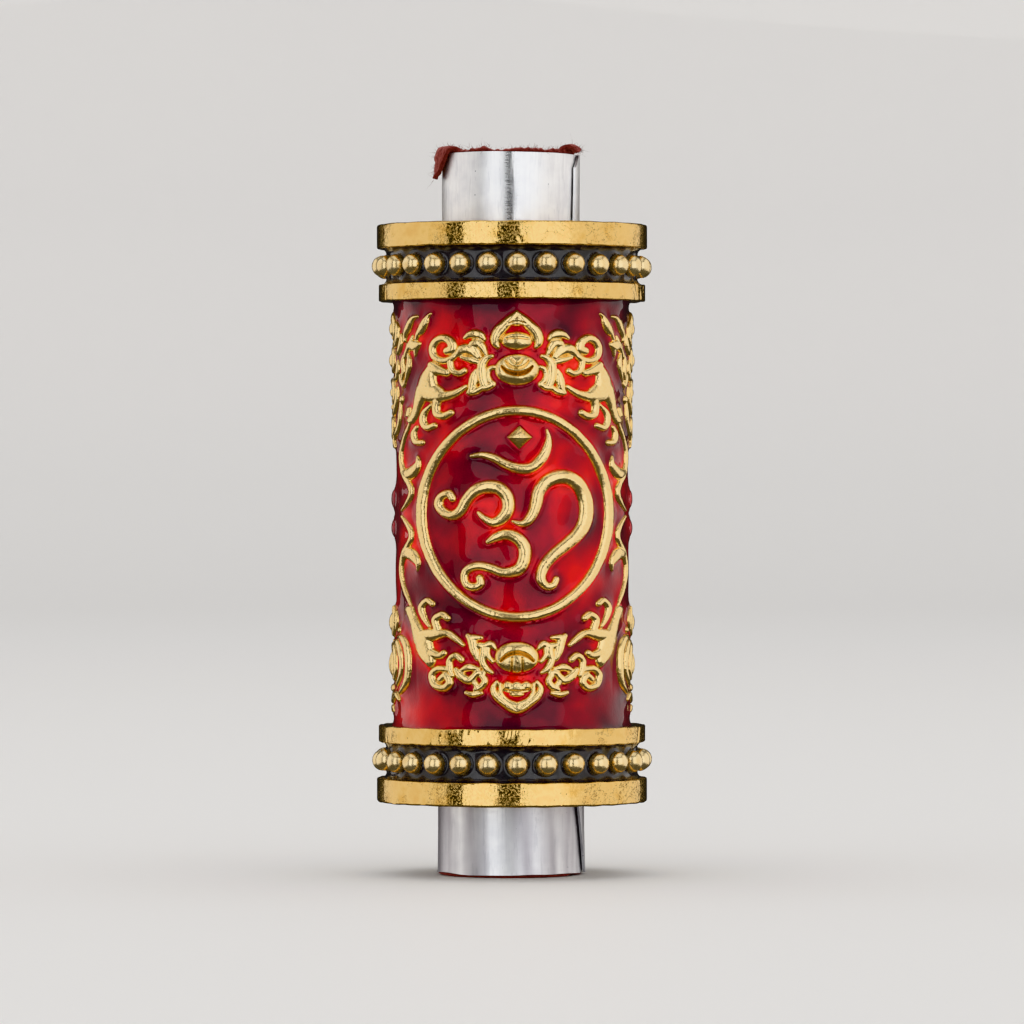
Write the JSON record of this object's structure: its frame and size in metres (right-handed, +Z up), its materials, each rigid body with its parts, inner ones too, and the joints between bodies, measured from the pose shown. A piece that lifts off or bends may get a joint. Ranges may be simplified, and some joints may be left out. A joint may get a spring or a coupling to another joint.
{
  "type": "prayer wheel",
  "caption": "Small cylindrical prayer wheel: an ornamented enamelled drum turns on a rolled aluminium sleeve that holds a cloth-wrapped roll.",
  "frame": {"origin": "middle of the sleeve's foot, on the surface the object stands on", "axes": "+Z up along the sleeve, -Y out of the front medallion, +X to the right of the front"},
  "size_m": [0.0236, 0.0236, 0.0604],
  "materials": {
    "aluminium_sheet": "satin, finely scratched",
    "antique_gold": "worn gold plate with dark patina in the pits",
    "polished_gold": "polished and pitted",
    "brass_tube": "plain brass",
    "bearing_bronze": "turned bronze",
    "red_enamel": "glossy translucent enamel over metal",
    "charcoal_enamel": "glossy dark enamel",
    "nylon": "plain",
    "maroon_cloth": "brushed, slightly fuzzy",
    "mantra_paper": "soft handmade paper",
    "rod_wood": "plain",
    "silk_thread": "twisted"
  },
  "bodies": {
    "core": {"core_sleeve": "aluminium_sheet", "upper_journal_collar": "bearing_bronze", "lower_journal_collar": "bearing_bronze", "upper_thrust_washer": "nylon", "lower_thrust_washer": "nylon"},
    "drum": {"drum_shell": "brass_tube", "red_enamel": "red_enamel", "top_cap": "polished_gold", "bottom_cap": "polished_gold", "upper_bush": "bearing_bronze", "lower_bush": "bearing_bronze", "top_channel_enamel": "charcoal_enamel", "bottom_channel_enamel": "charcoal_enamel", "top_beads": "polished_gold", "bottom_beads": "polished_gold", "front_medallion_ring": "antique_gold", "back_medallion_ring": "antique_gold", "front_om_syllable": "antique_gold", "back_om_syllable": "antique_gold", "front_om_crescent": "antique_gold", "back_om_crescent": "antique_gold", "front_om_jewel": "antique_gold", "back_om_jewel": "antique_gold", "front_upper_crest": "antique_gold", "front_lower_crest": "antique_gold", "back_upper_crest": "antique_gold", "back_lower_crest": "antique_gold", "front_left_upper_scrollwork": "antique_gold", "front_right_upper_scrollwork": "antique_gold", "front_left_lower_scrollwork": "antique_gold", "front_right_lower_scrollwork": "antique_gold", "back_left_upper_scrollwork": "antique_gold", "back_right_upper_scrollwork": "antique_gold", "back_left_lower_scrollwork": "antique_gold", "back_right_lower_scrollwork": "antique_gold", "front_left_bracket": "antique_gold", "front_right_bracket": "antique_gold", "back_left_bracket": "antique_gold", "back_right_bracket": "antique_gold", "left_spray": "antique_gold", "right_spray": "antique_gold", "left_lotus": "antique_gold", "right_lotus": "antique_gold", "left_side_jewels": "red_enamel", "right_side_jewels": "red_enamel"},
    "scroll": {"scroll_rod": "rod_wood", "mantra_scroll": "mantra_paper", "scroll_cloth": "maroon_cloth", "upper_binding_thread": "silk_thread", "lower_binding_thread": "silk_thread"}
  },
  "joints": [
    {"name": "drum_spin", "type": "hinge", "parent": "core", "child": "drum", "pos_m": [0, 0, 0.0302], "axis": [0, 0, 1], "continuous": true},
    {"name": "scroll_slide", "type": "slide", "parent": "core", "child": "scroll", "axis": [0, 0, 1], "range_m": [0, 0.062]}
  ]
}
